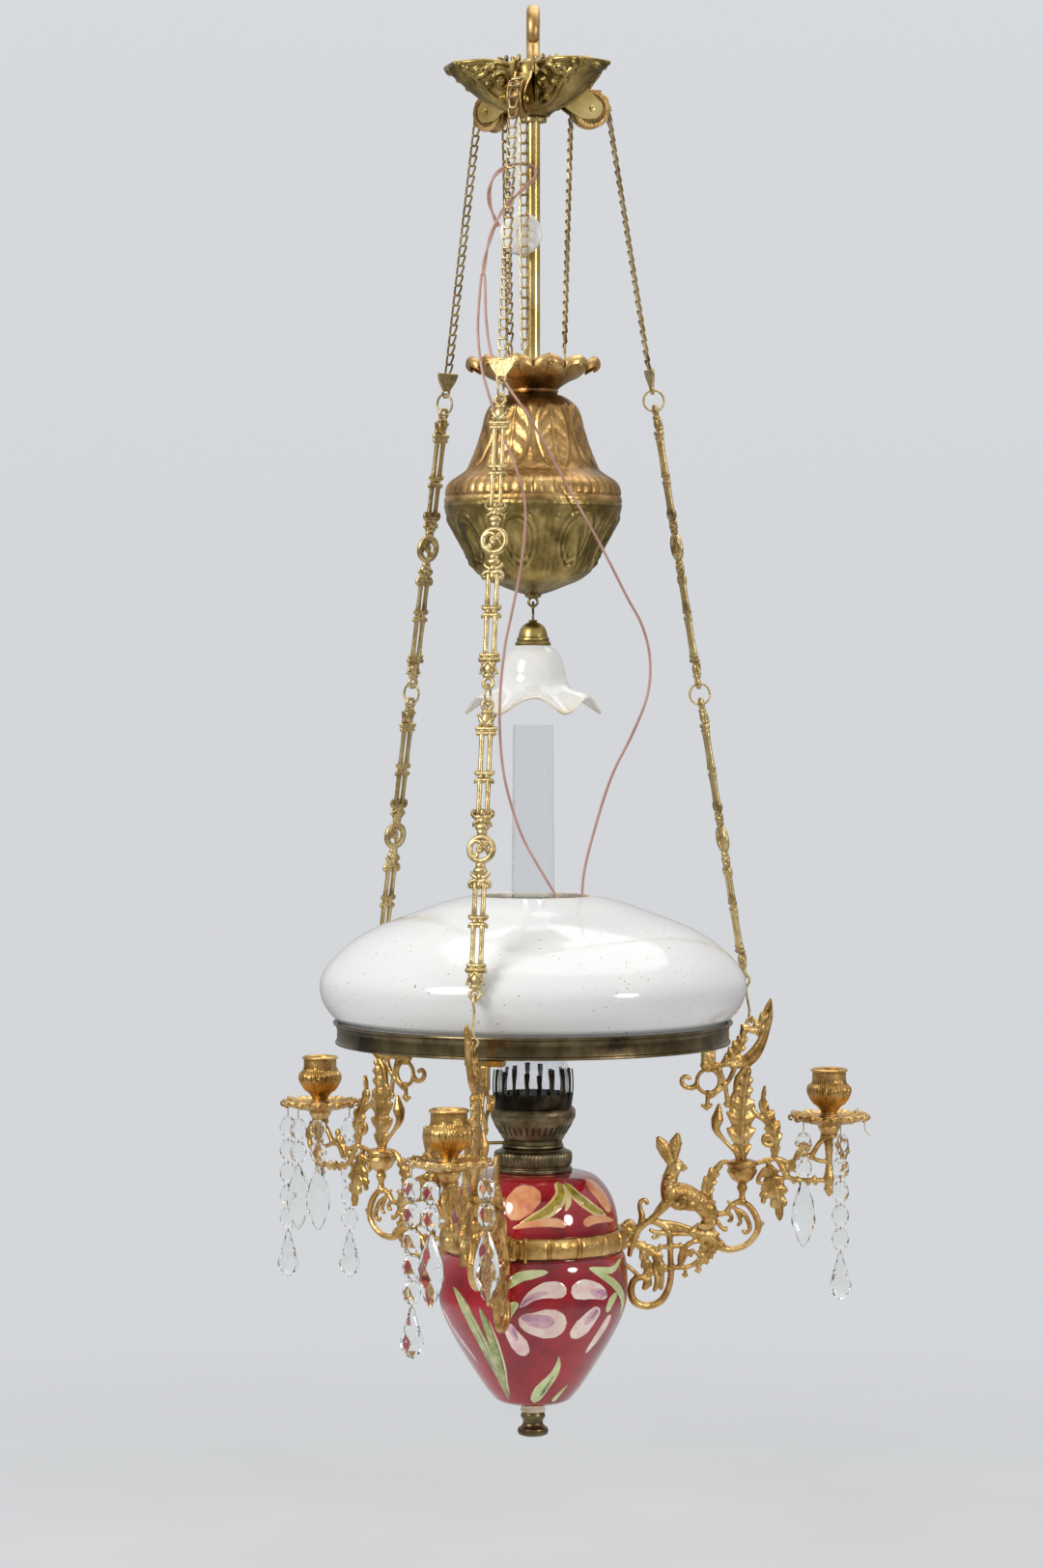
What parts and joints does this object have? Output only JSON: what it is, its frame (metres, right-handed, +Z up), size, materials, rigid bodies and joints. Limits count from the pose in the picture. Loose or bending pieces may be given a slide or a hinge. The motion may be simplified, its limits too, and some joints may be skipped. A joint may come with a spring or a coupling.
{
  "type": "hanging oil lamp",
  "caption": "Rise-and-fall hanging oil lamp: counterweight on pulleys and chains, opal shade, smoke bell, porcelain font and openwork candle arms.",
  "frame": {"origin": "inner top of the hanging hook, where it rests on the ceiling hook", "axes": "+Z up along the rod, -Y towards the viewer, +X to the viewer's right"},
  "size_m": [0.5415, 0.541, 1.2771],
  "materials": {
    "hook_brass": "polished",
    "antique_brass": "patinated",
    "coppered_brass": "satin",
    "iron": "rough",
    "dark_bronze": "patinated",
    "opal_glass": "glossy",
    "clear_glass": "glossy",
    "glazed_porcelain": "glossy",
    "cotton": "matte",
    "white_plastic": "glossy",
    "flex_skin": "matte",
    "pale_brass": "satin",
    "gold_brass": "polished"
  },
  "bodies": {
    "ceiling_gear": {"hanging_hook": "hook_brass", "crown": "antique_brass", "central_rod": "hook_brass", "rod_stop_nut": "hook_brass", "pulley_frame_right": "pale_brass", "chain_weight_side_right": "pale_brass", "chain_lamp_side_right": "pale_brass", "pulley_frame_left": "pale_brass", "chain_weight_side_left": "pale_brass", "chain_lamp_side_left": "pale_brass", "pulley_frame_front": "pale_brass", "chain_weight_side_front": "pale_brass", "chain_lamp_side_front": "pale_brass", "junction_disc": "white_plastic", "flex_pair": "flex_skin", "flex_core_a": "flex_skin", "flex_core_b": "flex_skin"},
    "lamp": {"chain_plate_right": "pale_brass", "upper_link_right": "pale_brass", "lower_link_right": "pale_brass", "suspension_hook_right": "pale_brass", "candle_arm_right": "gold_brass", "candle_pan_right": "gold_brass", "candle_cup_right": "gold_brass", "chain_plate_left": "pale_brass", "upper_link_left": "pale_brass", "lower_link_left": "pale_brass", "suspension_hook_left": "pale_brass", "candle_arm_left": "gold_brass", "candle_pan_left": "gold_brass", "candle_cup_left": "gold_brass", "chain_plate_front": "pale_brass", "upper_link_front": "pale_brass", "lower_link_front": "pale_brass", "suspension_hook_front": "pale_brass", "candle_arm_front": "gold_brass", "candle_pan_front": "gold_brass", "candle_cup_front": "gold_brass", "shade_ring": "dark_bronze", "shade": "opal_glass", "font_girdle": "gold_brass", "font": "glazed_porcelain", "font_finial": "dark_bronze", "burner_collar": "antique_brass", "burner_body": "antique_brass", "chimney": "clear_glass", "lamp_holder": "gold_brass"},
    "counterweight": {"counterweight_cup": "coppered_brass", "counterweight_upper_shell": "coppered_brass", "counterweight_lower_shell": "antique_brass", "counterweight_ballast": "iron", "counterweight_eye": "antique_brass"},
    "smoke_bell": {"smoke_bell_hook": "dark_bronze", "smoke_bell_cap": "antique_brass", "smoke_bell_glass": "opal_glass"},
    "wheel_right": {"pulley_right": "gold_brass"},
    "wheel_left": {"pulley_left": "gold_brass"},
    "wheel_front": {"pulley_front": "gold_brass"},
    "winder": {"wick_winder": "antique_brass"},
    "wick_body": {"wick": "cotton"}
  },
  "joints": [
    {"name": "lamp_slide", "type": "slide", "parent": "ceiling_gear", "child": "lamp", "axis": [0, 0, -1], "range_m": [0, 0.1], "deforming": ["chain_lamp_side_right", "chain_lamp_side_left", "chain_lamp_side_front", "flex_core_a", "flex_core_b"]},
    {"name": "counterweight_slide", "type": "slide", "parent": "ceiling_gear", "child": "counterweight", "axis": [0, 0, 1], "range_m": [0, 0.1], "deforming": ["chain_weight_side_right", "chain_weight_side_left", "chain_weight_side_front"]},
    {"name": "pulley_spin_right", "type": "hinge", "parent": "ceiling_gear", "child": "wheel_right", "pos_m": [0.05059, 0.01403, -0.079], "axis": [-0.2672, 0.9636, 0], "continuous": true},
    {"name": "pulley_spin_left", "type": "hinge", "parent": "ceiling_gear", "child": "wheel_left", "pos_m": [-0.03745, 0.0368, -0.079], "axis": [-0.7009, -0.7133, 0], "continuous": true},
    {"name": "pulley_spin_front", "type": "hinge", "parent": "ceiling_gear", "child": "wheel_front", "pos_m": [-0.01315, -0.05083, -0.079], "axis": [0.9681, -0.2504, 0], "continuous": true},
    {"name": "smoke_bell_swing", "type": "hinge", "parent": "counterweight", "child": "smoke_bell", "pos_m": [0, 0, -0.51857], "axis": [0, 1, 0], "range_deg": [-6, 6]},
    {"name": "wick_winder_turn", "type": "hinge", "parent": "lamp", "child": "winder", "pos_m": [-0.02891, -0.00802, -1.00087], "axis": [-0.9636, -0.2672, 0], "range_deg": [0, 300]},
    {"name": "wick_slide", "type": "slide", "parent": "lamp", "child": "wick_body", "axis": [0, 0, 1], "range_m": [0, 0.0081]}
  ],
  "couplings": [
    {"joint": "counterweight_slide", "follows": "lamp_slide", "ratio": 1},
    {"joint": "pulley_spin_right", "follows": "lamp_slide", "rad_per_m": 58.139},
    {"joint": "pulley_spin_left", "follows": "lamp_slide", "rad_per_m": 58.139},
    {"joint": "pulley_spin_front", "follows": "lamp_slide", "rad_per_m": 58.139},
    {"joint": "wick_slide", "follows": "wick_winder_turn", "m_per_rad": 0.00153}
  ]
}
